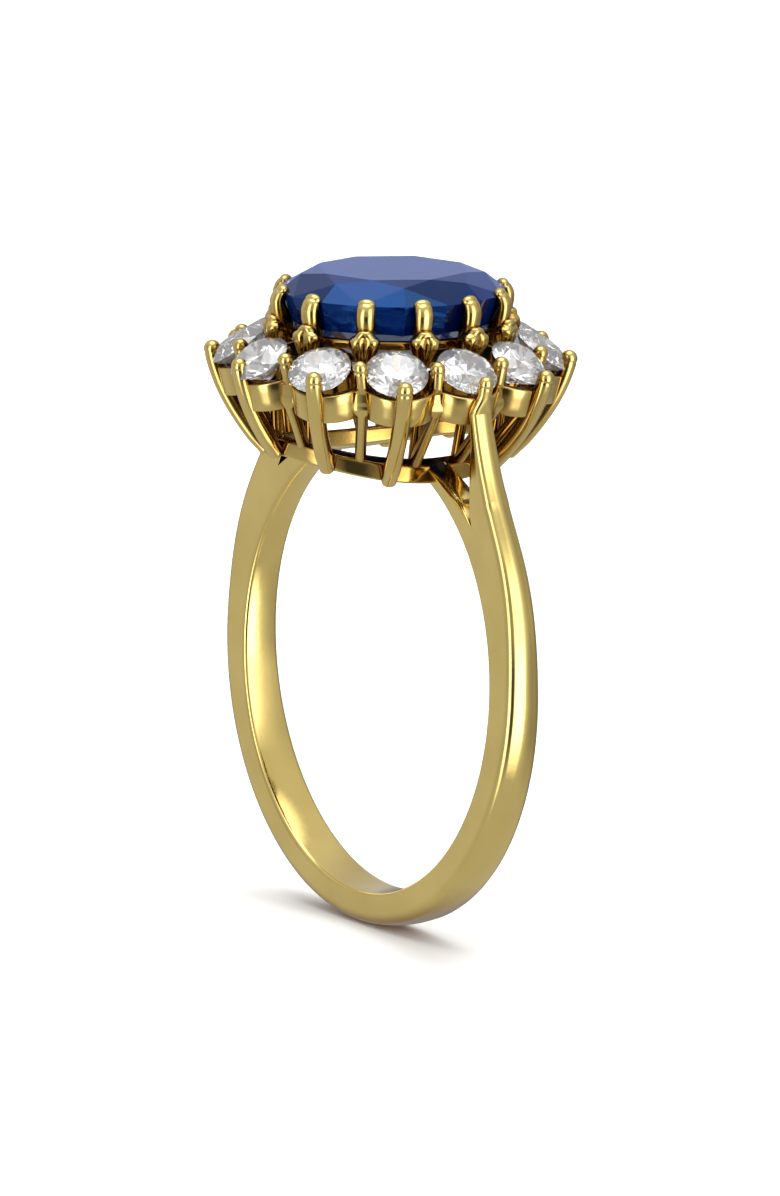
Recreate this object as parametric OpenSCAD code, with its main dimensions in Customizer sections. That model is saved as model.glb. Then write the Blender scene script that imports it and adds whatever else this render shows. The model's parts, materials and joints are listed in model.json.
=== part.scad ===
// Oval cluster engagement ring: one oval stone in twelve claws above a halo of twelve round
// brilliants, on a plain yellow gold shank with forked shoulders.
// Frame: the axis of the finger hole is Y, the head stands up along +Z, the shoulders are on +X
// and -X. The origin is the centre of the finger hole. Millimetres.

/* [Shank] */
// Diameter of the finger hole
finger_d = 17.3; // [15:0.1:20]
// Thickness of the hoop at the bottom
hoop_t = 1.35; // [1.2:0.01:1.5]
// Thickness of the hoop at the sides
side_t = 1.68; // [1.5:0.02:2]
// Width of the hoop at the bottom
hoop_w = 2; // [1.4:0.02:3]
// Width of the upper arm under its tip
arm_w = 0.92; // [0.7:0.02:1.1]
// Thickness of the upper arm under its tip
arm_t = 0.5; // [0.4:0.02:0.7]

/* [Base rail] */
// Half length of the rail along the finger hole's axis, to its middle
rail_half_y = 4.7; // [4.4:0.05:5]
// Half width of the rail across the ring, to its middle
rail_half_x = 3.45; // [3.3:0.05:3.7]
// Width of the rail seen from above
rail_w = 0.6; // [0.5:0.05:0.8]
// Height of the rail above the finger hole
rail_h = 0.66; // [0.5:0.02:0.8]

/* [Centre stone] */
// Length of the oval stone
centre_len = 9.0; // [8.6:0.1:9.2]
// Width of the oval stone
centre_wid = 7.9; // [7.5:0.1:8.1]
// Height of its girdle above the centre of the finger hole
centre_z = 14.8; // [14.5:0.05:15.2]
// Height of its crown
crown_h = 0.78; // [0.6:0.02:1]
// Depth of its pavilion
pavilion_h = 3.3; // [2.8:0.05:3.5]

/* [Halo stones] */
// Diameter of each round brilliant
stone_d = 2.44; // [2.2:0.02:2.6]
// Half width of the ring of stones across the ring, to their centres
halo_half_x = 5.45; // [5.3:0.05:5.6]
// Half length of the ring of stones along the finger hole's axis
halo_half_y = 6.0; // [5.8:0.05:6.1]
// Height of their girdles
halo_z = 12.5; // [12.3:0.05:12.7]
// How far each stone leans outward
stone_tilt = 35; // [25:1:40]

/* [Claws] */
// Thickness of the outer claws
outer_claw_d = 0.66; // [0.5:0.02:0.8]
// Thickness of the claws that two halo stones share
shared_claw_d = 0.58; // [0.5:0.02:0.7]
// Thickness of the claws of the centre stone
centre_claw_d = 0.72; // [0.6:0.02:0.8]
// Width of the acorn beads inside the halo
bead_d = 1.2; // [0.9:0.02:1.24]

/* [Hidden] */
STONES = 12;
// The two stones over the shoulders are held by the tips of the shank's upper arms.
ARM_STONES = [1, 7];
CLAW_STONES = [for (k = [1:STONES]) if (k != ARM_STONES[0] && k != ARM_STONES[1]) k];

GOLD = [0.80, 0.67, 0.33];
SAPPHIRE = [0.06, 0.15, 0.50];
DIAMOND = [0.93, 0.95, 0.97];

$fn = 96;
finger_r = finger_d / 2;
hoop_r = finger_r + side_t;
hoop_lift = side_t - hoop_t;
rail_r = finger_r + rail_h;
bore_len = 30;
far = 20;

// Ovals, as half sizes [across the ring, along the finger hole].
rail_oval = [rail_half_x, rail_half_y];
halo_oval = [halo_half_x, halo_half_y];
girdle_oval = [centre_wid, centre_len] / 2;
shared_claw_oval = halo_oval + [0.32, 0.05];
outer_claw_oval = halo_oval + [1.4, 0.85];
gallery_oval = halo_oval - [0.5, 0.85];
plate_oval = gallery_oval + [0.6, 0.55];
bead_oval = girdle_oval + [0.35, 0.3];
centre_ring_oval = girdle_oval - [0.48, 0.5];
oval_points = 64;

// Heights of the domes at the tops of the claws, and of the rails.
outer_tip_z = 12.25;
shared_tip_z = 12.68;
centre_tip_z = 14.74;
bead_z = 13.52;
centre_ring_z = 13.2;
gallery_z = 11.44;
plate_low_z = 10.95;
plate_high_z = 11.8;

// Halo gallery: twelve leaning collets joined into a scalloped rail.
collet_r = 1.47;
collet_wall = 0.36;
collet_h = 1.15;
collet_tilt = 16;

// Shank outline, seen along the finger hole.
shoulder_start = 2;
fork = [6.94, 6.69];
arm_top = [6.49, 11.05];
arm_tip = [6.8, 12.22];
arm_tip_r = 0.29;

function unit(v) = v / norm(v);
function mix(a, b, t) = a + (b - a) * t;

// The other half of a symmetric outline, without the points on the middle line.
function mirrored(half) = [for (i = [len(half) - 1:-1:0]) if (half[i][0] > 0.001) [-half[i][0], half[i][1]]];

// Claws and stones are evenly spaced along their ovals, which is slightly uneven in angle.
head_spread = 2.6;
rail_spread = 6;
function even_angle(turns, spread) = 360 * turns - spread * sin(720 * turns);
function stone_angle(k) = even_angle((k - 1) / STONES, head_spread);
function gap_angle(k) = even_angle((k - 0.5) / STONES, head_spread);
function stone_foot_angle(k) = even_angle((k - 1) / STONES, rail_spread);
function gap_foot_angle(k) = even_angle((k - 0.5) / STONES, rail_spread);
function on_oval(oval, angle, z) = [oval[0] * cos(angle), oval[1] * sin(angle), z];
function on_circle(radius, angle) = radius * [cos(angle), sin(angle)];
function outward(angle) = unit([cos(angle) / halo_half_x, sin(angle) / halo_half_y, 0]);
function sideways(angle) = let (o = outward(angle)) [-o[1], o[0], 0];
function heading(angle) = let (o = outward(angle)) atan2(o[1], o[0]);

// Height of a cylinder round the finger hole above a point of an oval.
function arch_z(radius, p) = sqrt(pow(radius, 2) - pow(p[0], 2));

// Adds a round end to a wire's points and half widths.
DOME = [25, 50, 70, 83];
function dome_points(points, r) =
    let (n = len(points), d = unit(points[n - 1] - points[n - 2]))
    concat(points, [for (a = DOME) points[n - 1] + d * r * sin(a)]);
function dome_sizes(sizes) =
    let (last = sizes[len(sizes) - 1])
    concat(sizes, [for (a = DOME) last * cos(a)]);

// A wire through points. sizes holds its half width along side and its half thickness.
module wire(points, sizes, side, facets = 10) {
    count = len(points);
    directions = [for (i = [0:count - 1]) unit(points[min(i + 1, count - 1)] - points[max(i - 1, 0)])];
    skin = [
        for (i = [0:count - 1])
            for (f = [0:facets - 1])
                let (a = 360 * f / facets, up = cross(directions[i], side))
                points[i] + side * sizes[i][0] * cos(a) + up * sizes[i][1] * sin(a)
    ];
    walls = [
        for (i = [0:count - 2])
            for (f = [0:facets - 1])
                let (g = (f + 1) % facets, a = i * facets, b = a + facets)
                for (t = [[a + f, b + f, b + g], [a + f, b + g, a + g]]) t
    ];
    ends = [[for (f = [0:facets - 1]) f], [for (f = [facets - 1:-1:0]) (count - 1) * facets + f]];
    polyhedron(skin, concat(walls, ends));
}

module oval(size) {
    polygon([for (i = [0:oval_points - 1]) let (a = 360 * i / oval_points) [size[0] * cos(a), size[1] * sin(a)]]);
}

module oval_ring(middle, width) {
    difference() {
        oval(middle + [width, width] / 2);
        oval(middle - [width, width] / 2);
    }
}

module along_finger(radius) {
    rotate([90, 0, 0]) cylinder(h = bore_len, r = radius, center = true);
}

// Shank: a plain hoop whose shoulders fork below the head. The lower arms run along the finger
// hole to the base rail. The upper arms rise to the halo, and their tips are its end claws.
function bezier(p, t) =
    pow(1 - t, 3) * p[0] + 3 * t * pow(1 - t, 2) * p[1] + 3 * t * t * (1 - t) * p[2] + pow(t, 3) * p[3];

function shoulder_outside() =
    let (
        start = [0, hoop_lift] + hoop_r * [cos(shoulder_start), sin(shoulder_start)],
        end = arm_top + [arm_t / 2, 0],
        curve = [start, start + [-0.2, 5.75], end + [1.3, -4.75], end]
    )
    [for (i = [0:14]) bezier(curve, i / 14)];

// Inner edge of the upper arm, downward to the fork, then the top edge of the lower arm.
function arm_inside() = [arm_top - [arm_t / 2, 0], [6.46, 9.9], [6.5, 8.8], [6.66, 7.6], fork];
function lower_arm_top() =
    [[5.95, 7.45], [5.1, 7.93], [4.4, 8.25], [rail_half_x, arch_z(rail_r, [rail_half_x])]];

module shank_side() {
    shoulder = concat([[0, 0]], shoulder_outside(), arm_inside());
    gap = concat([[0, far]], arm_inside(), lower_arm_top());
    difference() {
        union() {
            translate([0, hoop_lift]) circle(r = hoop_r);
            polygon(shoulder);
            polygon([for (p = shoulder) [-p[0], p[1]]]);
        }
        polygon(concat(gap, mirrored(gap)));
    }
}

module shank_front() {
    half = [
        [hoop_w / 2, -hoop_r - 1],
        [hoop_w / 2, -hoop_r],
        [arm_w / 2, arm_top[1]],
        [arm_w / 2, arm_top[1] + 1]
    ];
    polygon(concat(half, mirrored(half)));
}

module arm_claw(side) {
    root = [arm_w / 2 - 0.02, arm_t / 2 - 0.01];
    low = [side * arm_top[0], 0, arm_top[1]];
    high = [side * arm_tip[0], 0, arm_tip[1]];
    path = [for (t = [-0.3, 0, 0.7, 1]) mix(low, high, t)];
    tip = [arm_tip_r, arm_tip_r];
    wire(dome_points(path, arm_tip_r), dome_sizes([root, root, tip, tip]), [0, 1, 0]);
}

module shank() {
    color(GOLD) {
        difference() {
            intersection() {
                rotate([90, 0, 0]) linear_extrude(height = 2 * hoop_w, center = true) shank_side();
                rotate([90, 0, 90]) linear_extrude(height = 3 * finger_d, center = true) shank_front();
            }
            along_finger(finger_r);
            linear_extrude(height = 2 * finger_d) oval(rail_oval + [rail_w, rail_w] / 2);
        }
        for (side = [1, -1]) arm_claw(side);
    }
}

// Base rail: an oval band bent over the finger hole.
module base_rail() {
    color(GOLD)
    intersection() {
        linear_extrude(height = 2 * finger_r) oval_ring(rail_oval, rail_w);
        difference() {
            along_finger(rail_r);
            along_finger(finger_r);
        }
    }
}

// Halo gallery: one leaning collet under each halo stone, each ending where the next begins.
module collet(k) {
    a = stone_angle(k);
    intersection() {
        linear_extrude(height = 2 * gallery_z)
            polygon([[0, 0], on_circle(far, gap_angle(k - 1)), on_circle(far, gap_angle(k))]);
        translate(on_oval(gallery_oval, a, gallery_z))
            rotate([0, 0, heading(a)])
                rotate([0, collet_tilt, 0])
                    difference() {
                        cylinder(h = collet_h, r = collet_r, center = true);
                        cylinder(h = 2 * collet_h, r = collet_r - collet_wall, center = true);
                    }
    }
}

module halo_gallery() {
    color(GOLD) for (k = [1:STONES]) collet(k);
}

// Centre gallery: the thin oval bar that ties the centre stone's claws together.
module centre_gallery() {
    bar = 0.36;
    color(GOLD)
    translate([0, 0, centre_ring_z - bar / 2]) linear_extrude(height = bar) oval_ring(centre_ring_oval, bar);
}

// Outer claws rise from the base rail, bow outward and end over the rims of the halo stones. The
// ones beside the arms are a little shorter.
function beside_arm(k) = let (turn = k % (STONES / 2)) turn == 0 || turn == 2;
module outer_claw(k) {
    r = outer_claw_d / 2;
    bow = 0.62;
    edge = on_oval(rail_oval + [0.36, 0.36], stone_foot_angle(k), 0);
    foot = [edge[0], edge[1], arch_z(finger_r + 0.12, edge)];
    top = on_oval(outer_claw_oval, stone_angle(k), beside_arm(k) ? outer_tip_z - 0.18 : outer_tip_z);
    rise = [for (i = [0:7]) i / 7];
    path = [
        for (t = rise)
            let (spread = t + bow * t * (1 - t))
            [mix(foot[0], top[0], spread), mix(foot[1], top[1], spread), mix(foot[2], top[2], t)]
    ];
    color(GOLD) wire(dome_points(path, r), dome_sizes([for (t = rise) [r, r]]), sideways(stone_angle(k)));
}

// Shared claws stand between two halo stones: a round tip, a broad flat against the gallery and
// a slim strut down to the base rail.
module shared_claw(k) {
    a = gap_angle(k);
    r = shared_claw_d / 2;
    strut = [0.22, 0.24];
    plate = [0.38, 0.2];
    edge = on_oval(rail_oval + [0.05, 0.05], gap_foot_angle(k), 0);
    foot = [edge[0], edge[1], arch_z(rail_r, edge) - 0.08];
    plate_low = on_oval(plate_oval, a, plate_low_z);
    plate_high = on_oval(plate_oval + [0.06, 0.06], a, plate_high_z);
    top = on_oval(shared_claw_oval, a, shared_tip_z);
    path = [
        foot,
        mix(foot, plate_low, 0.45),
        mix(foot, plate_low, 0.86),
        plate_low,
        plate_high,
        mix(plate_high, top, 0.12),
        mix(plate_high, top, 0.5),
        top
    ];
    sizes = [strut, strut, strut, plate, plate, [r, r * 0.85], [r, r], [r, r]];
    color(GOLD) wire(dome_points(path, r), dome_sizes(sizes), sideways(a));
}

// Inner claws stand behind the halo stones. Each is turned as one piece: a slim strut that
// flares into an acorn bead.
module inner_claw(k) {
    edge = on_oval(rail_oval - [0.06, 0.06], gap_foot_angle(k), 0);
    foot = [edge[0], edge[1], arch_z(rail_r, edge) - 0.15];
    head = on_oval(bead_oval, gap_angle(k), bead_z);
    axis = head - foot;
    length = norm(axis);
    r = bead_d / 2;
    profile = concat(
        [[0, 0], [0.24, 0], [0.2, length - 1.05], [0.25, length - 0.9], [r - 0.04, length - 0.1]],
        [for (t = [0:15:75]) [r * cos(t), length + 0.42 * sin(t)]],
        [[0, length + 0.42]]
    );
    translate(foot)
        rotate([0, acos(axis[2] / length), atan2(axis[1], axis[0])])
            rotate_extrude() polygon(profile);
}

module inner_claws() {
    color(GOLD) for (k = [1:STONES]) inner_claw(k);
}

// Centre claws rise from the centre gallery and fold over the rim of the oval stone.
module centre_claw(k) {
    a = gap_angle(k);
    r = centre_claw_d / 2;
    foot = on_oval(girdle_oval - [0.22, 0.26], a, centre_ring_z - 0.2);
    knee = on_oval(girdle_oval + [0.16, 0.15], a, centre_tip_z - 0.45);
    shoulder = on_oval(girdle_oval + [0.13, 0.12], a, centre_tip_z - 0.12);
    tip = on_oval(girdle_oval - [0.02, 0.02], a, centre_tip_z + 0.1);
    path = [foot, mix(foot, knee, 0.5), knee, shoulder, tip];
    sizes = [[r * 0.9, r * 0.9], [r, r * 0.95], [r, r * 0.9], [r, r * 0.75], [r * 0.95, r * 0.6]];
    color(GOLD)
    difference() {
        wire(dome_points(path, r * 0.6), dome_sizes(sizes), sideways(a));
        centre_stone();
    }
}

// A cut stone is a stack of sixteen point rings. Each ring is [radius and height at the main
// facets, radius and height between them], in girdle radii and in millimetres.
FACETS = 16;
module cut_stone(oval, rings, culet_z) {
    count = len(rings);
    top = FACETS * count;
    skin = concat(
        [for (ring = rings)
            for (f = [0:FACETS - 1])
                let (a = 360 * f / FACETS, p = f % 2 == 0 ? [ring[0], ring[1]] : [ring[2], ring[3]])
                [oval[0] * p[0] * cos(a), oval[1] * p[0] * sin(a), p[1]]],
        [[0, 0, culet_z]]
    );
    walls = [
        for (i = [0:count - 2])
            for (f = [0:FACETS - 1])
                let (g = (f + 1) % FACETS, a = i * FACETS, b = a + FACETS, up = (f + i) % 2 == 0)
                for (t = up ? [[a + f, b + g, b + f], [a + f, a + g, b + g]]
                            : [[a + f, a + g, b + f], [a + g, b + g, b + f]]) t
    ];
    point = [for (f = [0:FACETS - 1]) [top - FACETS + f, top - FACETS + (f + 1) % FACETS, top]];
    table = [[for (f = [FACETS - 1:-1:0]) f]];
    polyhedron(skin, concat(table, walls, point));
}

// Crown and pavilion of a brilliant. Main facets run straight from table to girdle and from
// girdle to culet, and the points between them keep those facets flat.
HALF = 180 / 8;
function crown(table, star, h) =
    let (slope = h / (1 - table), middle = (1 + table) / 2)
    [
        [table, h, table * cos(HALF), h],
        [middle, slope * (1 - middle), star, slope * (1 - star * cos(HALF))]
    ];
function pavilion(girdle, top_z, culet_z, split) =
    let (slope = (top_z - culet_z) / girdle)
    [[split, culet_z + slope * split, split * 0.9, culet_z + slope * split * 0.9 * cos(HALF)]];

module centre_stone() {
    belly = 0.92;
    belly_z = -1.15;
    color(SAPPHIRE, 0.85)
    translate([0, 0, centre_z])
        cut_stone(
            girdle_oval,
            concat(
                crown(0.68, 0.82, crown_h),
                [[1, 0, 1, 0], [1, -0.1, 1, -0.1], [belly, belly_z, belly, belly_z]],
                pavilion(belly, belly_z, -pavilion_h, 0.4)
            ),
            -pavilion_h
        );
}

module halo_stone(k) {
    a = stone_angle(k);
    r = stone_d / 2;
    rim = 0.05;
    depth = 0.86 * r;
    color(DIAMOND, 0.7)
    translate(on_oval(halo_oval, a, halo_z))
        rotate([0, 0, heading(a)])
            rotate([0, stone_tilt, 0])
                cut_stone(
                    [r, r],
                    concat(
                        crown(0.56, 0.8, 0.3 * r),
                        [[1, 0, 1, 0], [1, -rim, 1, -rim]],
                        pavilion(1, -rim, -depth, 0.25)
                    ),
                    -depth
                );
}

shank();
base_rail();
halo_gallery();
centre_gallery();
inner_claws();
centre_stone();
for (k = CLAW_STONES) outer_claw(k);
for (k = [1:STONES]) shared_claw(k);
for (k = [1:STONES]) centre_claw(k);
for (k = [1:STONES]) halo_stone(k);
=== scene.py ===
"""Oval cluster engagement ring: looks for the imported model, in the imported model's own frame.

Shapes are worked out in millimetres and stored in metres. The finger hole's axis is Y, the head
stands up along +Z and the shoulders are on +X and -X. The origin is the centre of the finger hole.
"""
import json
import math

import bmesh
import bpy
from mathutils import Matrix, Vector


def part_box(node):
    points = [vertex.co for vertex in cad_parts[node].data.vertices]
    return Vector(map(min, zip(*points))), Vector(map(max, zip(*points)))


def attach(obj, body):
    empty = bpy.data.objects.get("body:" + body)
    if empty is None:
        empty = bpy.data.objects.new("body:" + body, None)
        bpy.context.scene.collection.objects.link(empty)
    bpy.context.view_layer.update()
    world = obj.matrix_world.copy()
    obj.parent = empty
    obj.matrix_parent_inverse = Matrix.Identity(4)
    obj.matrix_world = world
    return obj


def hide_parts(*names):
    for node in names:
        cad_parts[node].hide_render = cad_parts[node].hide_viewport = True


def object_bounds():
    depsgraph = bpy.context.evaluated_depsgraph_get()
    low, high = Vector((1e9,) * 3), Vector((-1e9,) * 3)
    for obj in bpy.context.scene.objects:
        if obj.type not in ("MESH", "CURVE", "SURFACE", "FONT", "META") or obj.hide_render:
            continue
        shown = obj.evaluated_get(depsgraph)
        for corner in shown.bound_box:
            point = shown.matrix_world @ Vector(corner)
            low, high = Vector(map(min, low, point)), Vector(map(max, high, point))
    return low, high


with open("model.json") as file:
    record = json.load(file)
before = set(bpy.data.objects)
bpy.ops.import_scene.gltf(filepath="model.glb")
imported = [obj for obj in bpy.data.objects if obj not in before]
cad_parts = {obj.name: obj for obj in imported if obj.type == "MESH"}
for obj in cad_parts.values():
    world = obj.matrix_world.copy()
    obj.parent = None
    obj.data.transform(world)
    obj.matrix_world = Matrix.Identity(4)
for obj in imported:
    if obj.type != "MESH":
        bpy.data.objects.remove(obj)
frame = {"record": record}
cad_low, cad_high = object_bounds()

MM = 0.001


# ---------------------------------------------------------------- driving sizes, from the frame


def box_mm(node):
    low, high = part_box(node)
    return Vector(low) / MM, Vector(high) / MM


BORE = next(m for m in frame["record"]["mounts"] if m["name"] == "finger_bore")
FINGER_R = BORE["dims"]["r_mm"]
SHANK_LOW, SHANK_HIGH = box_mm("shank")
HOOP_R = SHANK_HIGH.x
HOOP_LIFT = HOOP_R + SHANK_LOW.z
HOOP_HALF_W = SHANK_HIGH.y
RAIL_HIGH = box_mm("base_rail")[1]
STONE_LOW, STONE_HIGH = box_mm("centre_stone")
GIRDLE_OVAL = (STONE_HIGH.x, STONE_HIGH.y)

STONES = 12
ARM_STONES = (1, 7)
CLAW_STONES = [k for k in range(1, STONES + 1) if k not in ARM_STONES]


def grown(oval, x, y=None):
    """An oval, as half sizes (across the ring, along the finger hole), larger by x and y."""
    return (oval[0] + x, oval[1] + (x if y is None else y))


RAIL_W = 0.6
RAIL_OVAL = grown((RAIL_HIGH.x, RAIL_HIGH.y), -RAIL_W / 2)
RAIL_H = 0.66
RAIL_R = FINGER_R + RAIL_H
HALO_OVAL = (5.45, 6.0)
HALO_Z = 12.5
STONE_R = 1.22
STONE_TILT = math.radians(35)
GALLERY_OVAL = grown(HALO_OVAL, -0.5, -0.85)
GALLERY_Z = 11.44
PLATE_OVAL = grown(GALLERY_OVAL, 0.6, 0.55)
SHARED_OVAL = grown(HALO_OVAL, 0.32, 0.05)
OUTER_OVAL = grown(HALO_OVAL, 1.4, 0.85)
BEAD_OVAL = grown(GIRDLE_OVAL, 0.35, 0.3)
CENTRE_RING_OVAL = grown(GIRDLE_OVAL, -0.48, -0.5)
GIRDLE_Z = 14.8


# ---------------------------------------------------------------- places round the head

HEAD_SPREAD = math.radians(2.6)
RAIL_SPREAD = math.radians(6)


def even_angle(turns, spread):
    """Angle of a stone or claw. They are evenly spaced along their oval, not in angle."""
    return 2 * math.pi * turns - spread * math.sin(4 * math.pi * turns)


def stone_angle(k, spread=HEAD_SPREAD):
    return even_angle((k - 1) / STONES, spread)


def gap_angle(k, spread=HEAD_SPREAD):
    return even_angle((k - 0.5) / STONES, spread)


def on_oval(oval, angle, z=0.0):
    return Vector((oval[0] * math.cos(angle), oval[1] * math.sin(angle), z))


def outward(angle, oval=HALO_OVAL):
    return Vector((math.cos(angle) / oval[0], math.sin(angle) / oval[1], 0)).normalized()


def sideways(angle):
    o = outward(angle)
    return Vector((-o.y, o.x, 0))


def arch_z(radius, p):
    """Height of a cylinder round the finger hole above the point p."""
    return math.sqrt(radius**2 - p[0] ** 2)


def rail_point(oval, angle, radius, drop=0.0):
    p = on_oval(oval, angle)
    p.z = arch_z(radius, p) - drop
    return p


# ---------------------------------------------------------------- mesh helpers

WIRE_SIDES = 28
DOME_RINGS = 8
BEAD_SIDES = 40


def mix(a, b, t):
    return a + (b - a) * t


def steps(count):
    return [i / (count - 1) for i in range(count)]


def full_turn(count):
    """Angles evenly spaced round a circle."""
    return [2 * math.pi * i / count for i in range(count)]


def link(name, mesh, material):
    mesh.materials.append(material)
    obj = bpy.data.objects.new(name, mesh)
    bpy.context.scene.collection.objects.link(obj)
    return obj


def make_piece(name, points, faces, material, sharp=None):
    """A smooth closed mesh from points in millimetres. Edges over sharp degrees stay crisp."""
    bm = bmesh.new()
    verts = [bm.verts.new(Vector(p) * MM) for p in points]
    for face in faces:
        bm.faces.new([verts[i] for i in face])
    bmesh.ops.recalc_face_normals(bm, faces=bm.faces[:])
    mesh = bpy.data.meshes.new(name)
    bm.to_mesh(mesh)
    bm.free()
    mesh.shade_smooth()
    if sharp:
        mesh.set_sharp_from_angle(angle=math.radians(sharp))
    return link(name, mesh, material)


def finish_piece(obj, slot, *nodes):
    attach(obj, "root")
    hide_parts(*nodes)


def bridge(a, b):
    """Quads between two rings of point numbers."""
    n = len(a)
    return [(a[i], a[(i + 1) % n], b[(i + 1) % n], b[i]) for i in range(n)]


def stack_faces(rings, closed=False):
    """Quads along rings of point numbers. The ends are capped, or joined to each other."""
    faces = []
    for i in range(len(rings) - 1):
        faces += bridge(rings[i], rings[i + 1])
    if closed:
        return faces + bridge(rings[-1], rings[0])
    return faces + [tuple(reversed(rings[0])), tuple(rings[-1])]


def loft(loops, closed=False):
    """Points and faces of a skin over loops that all have the same number of points."""
    points, rings = [], []
    for loop in loops:
        rings.append(list(range(len(points), len(points) + len(loop))))
        points += loop
    return points, stack_faces(rings, closed)


def smooth_path(points, count):
    """A Catmull-Rom curve through the points, with count steps between each two."""
    ends = [2 * points[0] - points[1], *points, 2 * points[-1] - points[-2]]
    path = []
    for i in range(1, len(ends) - 2):
        p0, p1, p2, p3 = ends[i - 1 : i + 3]
        for s in range(count):
            t = s / count
            bend = 2 * p0 - 5 * p1 + 4 * p2 - p3
            path.append(0.5 * (2 * p1 + (p2 - p0) * t + bend * t**2 + (3 * p1 - p0 - 3 * p2 + p3) * t**3))
    return path + [points[-1]]


def wire(path, section, side, dome=0.0, foot=0.0):
    """A wire along path. section(t, angle) is its reach along side and across it, for t from 0 to
    1. dome and foot are the heights of its round ends."""
    n = len(path)
    loops = []
    for i, p in enumerate(path):
        d = (path[min(i + 1, n - 1)] - path[max(i - 1, 0)]).normalized()
        up = d.cross(side)
        reach = [section(i / (n - 1), a) for a in full_turn(WIRE_SIDES)]
        loops.append([p + side * s + up * u for s, u in reach])
    if dome:
        loops += round_end(path[-1], (path[-1] - path[-2]).normalized() * dome, loops[-1])
    if foot:
        low_end = round_end(path[0], (path[0] - path[1]).normalized() * foot, loops[0])
        loops = list(reversed(low_end)) + loops
    return loft(loops)


def round_end(centre, rise, rim):
    """Rings of a dome over the loop rim."""
    turns = [math.pi / 2 * j / (DOME_RINGS + 0.3) for j in range(1, DOME_RINGS + 1)]
    return [[centre + rise * math.sin(b) + (p - centre) * math.cos(b) for p in rim] for b in turns]


def fine_path(points, spacing=0.05):
    """The smooth path through points, resampled evenly."""
    smooth = smooth_path(points, 12)
    length = sum((q - p).length for p, q in zip(smooth, smooth[1:]))
    return even_path(smooth, max(int(length / spacing), 8))


def even_path(points, count):
    """count points evenly spaced along the path."""
    lengths = [0.0]
    for p, q in zip(points, points[1:]):
        lengths.append(lengths[-1] + (q - p).length)
    path, i = [], 0
    for t in steps(count):
        want = t * lengths[-1]
        while i < len(points) - 2 and lengths[i + 1] < want:
            i += 1
        path.append(mix(points[i], points[i + 1], (want - lengths[i]) / (lengths[i + 1] - lengths[i])))
    return path


def path_length(path):
    return sum((q - p).length for p, q in zip(path, path[1:]))


CREASE_BELOW = 0.09
CREASE_DEPTH = 0.06
CREASE_WIDTH = 0.04


def creased(section, length):
    """The section with a fine groove a little below its round end, where the tip was folded over."""

    def with_groove(t, a):
        away = (length * (1 - t) - CREASE_BELOW) / CREASE_WIDTH
        scale = 1 - CREASE_DEPTH * math.exp(-away * away)
        s, u = section(t, a)
        return s * scale, u * scale

    return with_groove


def blend_list(values, t):
    """The value at t from 0 to 1 along a list of numbers or tuples, smoothly eased."""
    x = min(max(t, 0), 1) * (len(values) - 1)
    i = min(int(x), len(values) - 2)
    f = x - i
    f = f * f * (3 - 2 * f)
    return [mix(a, b, f) for a, b in zip(values[i], values[i + 1])]


def power_curve(c, power):
    return math.copysign(abs(c) ** (2 / power), c)


def shaped_section(sizes):
    """A section that runs through sizes, a list of (half width, half thickness, squareness).
    Squareness 2 is an oval, and more is closer to a rectangle."""

    def section(t, a):
        s, u, power = blend_list(sizes, t)
        return s * power_curve(math.cos(a), power), u * power_curve(math.sin(a), power)

    return section


def rounded_box(half_w, h, r, corner=5, flat=3):
    """A loop of (across, up) points of a rectangle with round corners, standing on 0."""
    loop = []
    for cx, cy, start in (
        (half_w - r, r, -90),
        (half_w - r, h - r, 0),
        (-half_w + r, h - r, 90),
        (-half_w + r, r, 180),
    ):
        for i in range(corner):
            a = math.radians(start + 90 * i / (corner - 1))
            loop.append((cx + r * math.cos(a), cy + r * math.sin(a)))
    full = []
    for i, p in enumerate(loop):
        full.append(p)
        if i % corner == corner - 1:
            q = loop[(i + 1) % len(loop)]
            along = [j / (flat + 1) for j in range(1, flat + 1)]
            full += [(mix(p[0], q[0], t), mix(p[1], q[1], t)) for t in along]
    return full


def slice_off(bm, point, normal, dist=0.0):
    """Cuts away the side that normal points to and closes the cut."""
    geom = bm.verts[:] + bm.edges[:] + bm.faces[:]
    cut = bmesh.ops.bisect_plane(
        bm, geom=geom, plane_co=point, plane_no=normal, clear_outer=True, dist=dist
    )
    edges = [e for e in cut["geom_cut"] if isinstance(e, bmesh.types.BMEdge)]
    if edges:
        bmesh.ops.holes_fill(bm, edges=edges, sides=0)


# ---------------------------------------------------------------- materials


def new_material(name):
    material = bpy.data.materials.new(name)
    material.use_nodes = True
    nodes = material.node_tree.nodes
    return material, nodes, material.node_tree.links, nodes["Principled BSDF"]


def add_node(nodes, kind, **values):
    """Adds a node and sets its named properties and input values."""
    node = nodes.new(kind)
    for key, value in values.items():
        if hasattr(node, key):
            setattr(node, key, value)
        else:
            node.inputs[key.replace("_", " ").title()].default_value = value
    return node


def noise(nodes, links, scale, detail=3.0):
    """Noise that is fixed to the object, scale per metre."""
    place = add_node(nodes, "ShaderNodeTexCoord")
    texture = add_node(nodes, "ShaderNodeTexNoise", scale=scale, detail=detail)
    links.new(place.outputs["Object"], texture.inputs["Vector"])
    return texture.outputs["Fac"]


def ramp(nodes, links, source, stops):
    """Maps a number to colours. stops is a list of (position, colour)."""
    node = add_node(nodes, "ShaderNodeValToRGB")
    elements = node.color_ramp.elements
    while len(elements) < len(stops):
        elements.new(0.5)
    for element, (position, colour) in zip(elements, stops):
        element.position = position
        element.color = (*colour, 1)
    links.new(source, node.inputs["Fac"])
    return node.outputs["Color"]


def grey(value):
    return (value, value, value)


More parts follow.
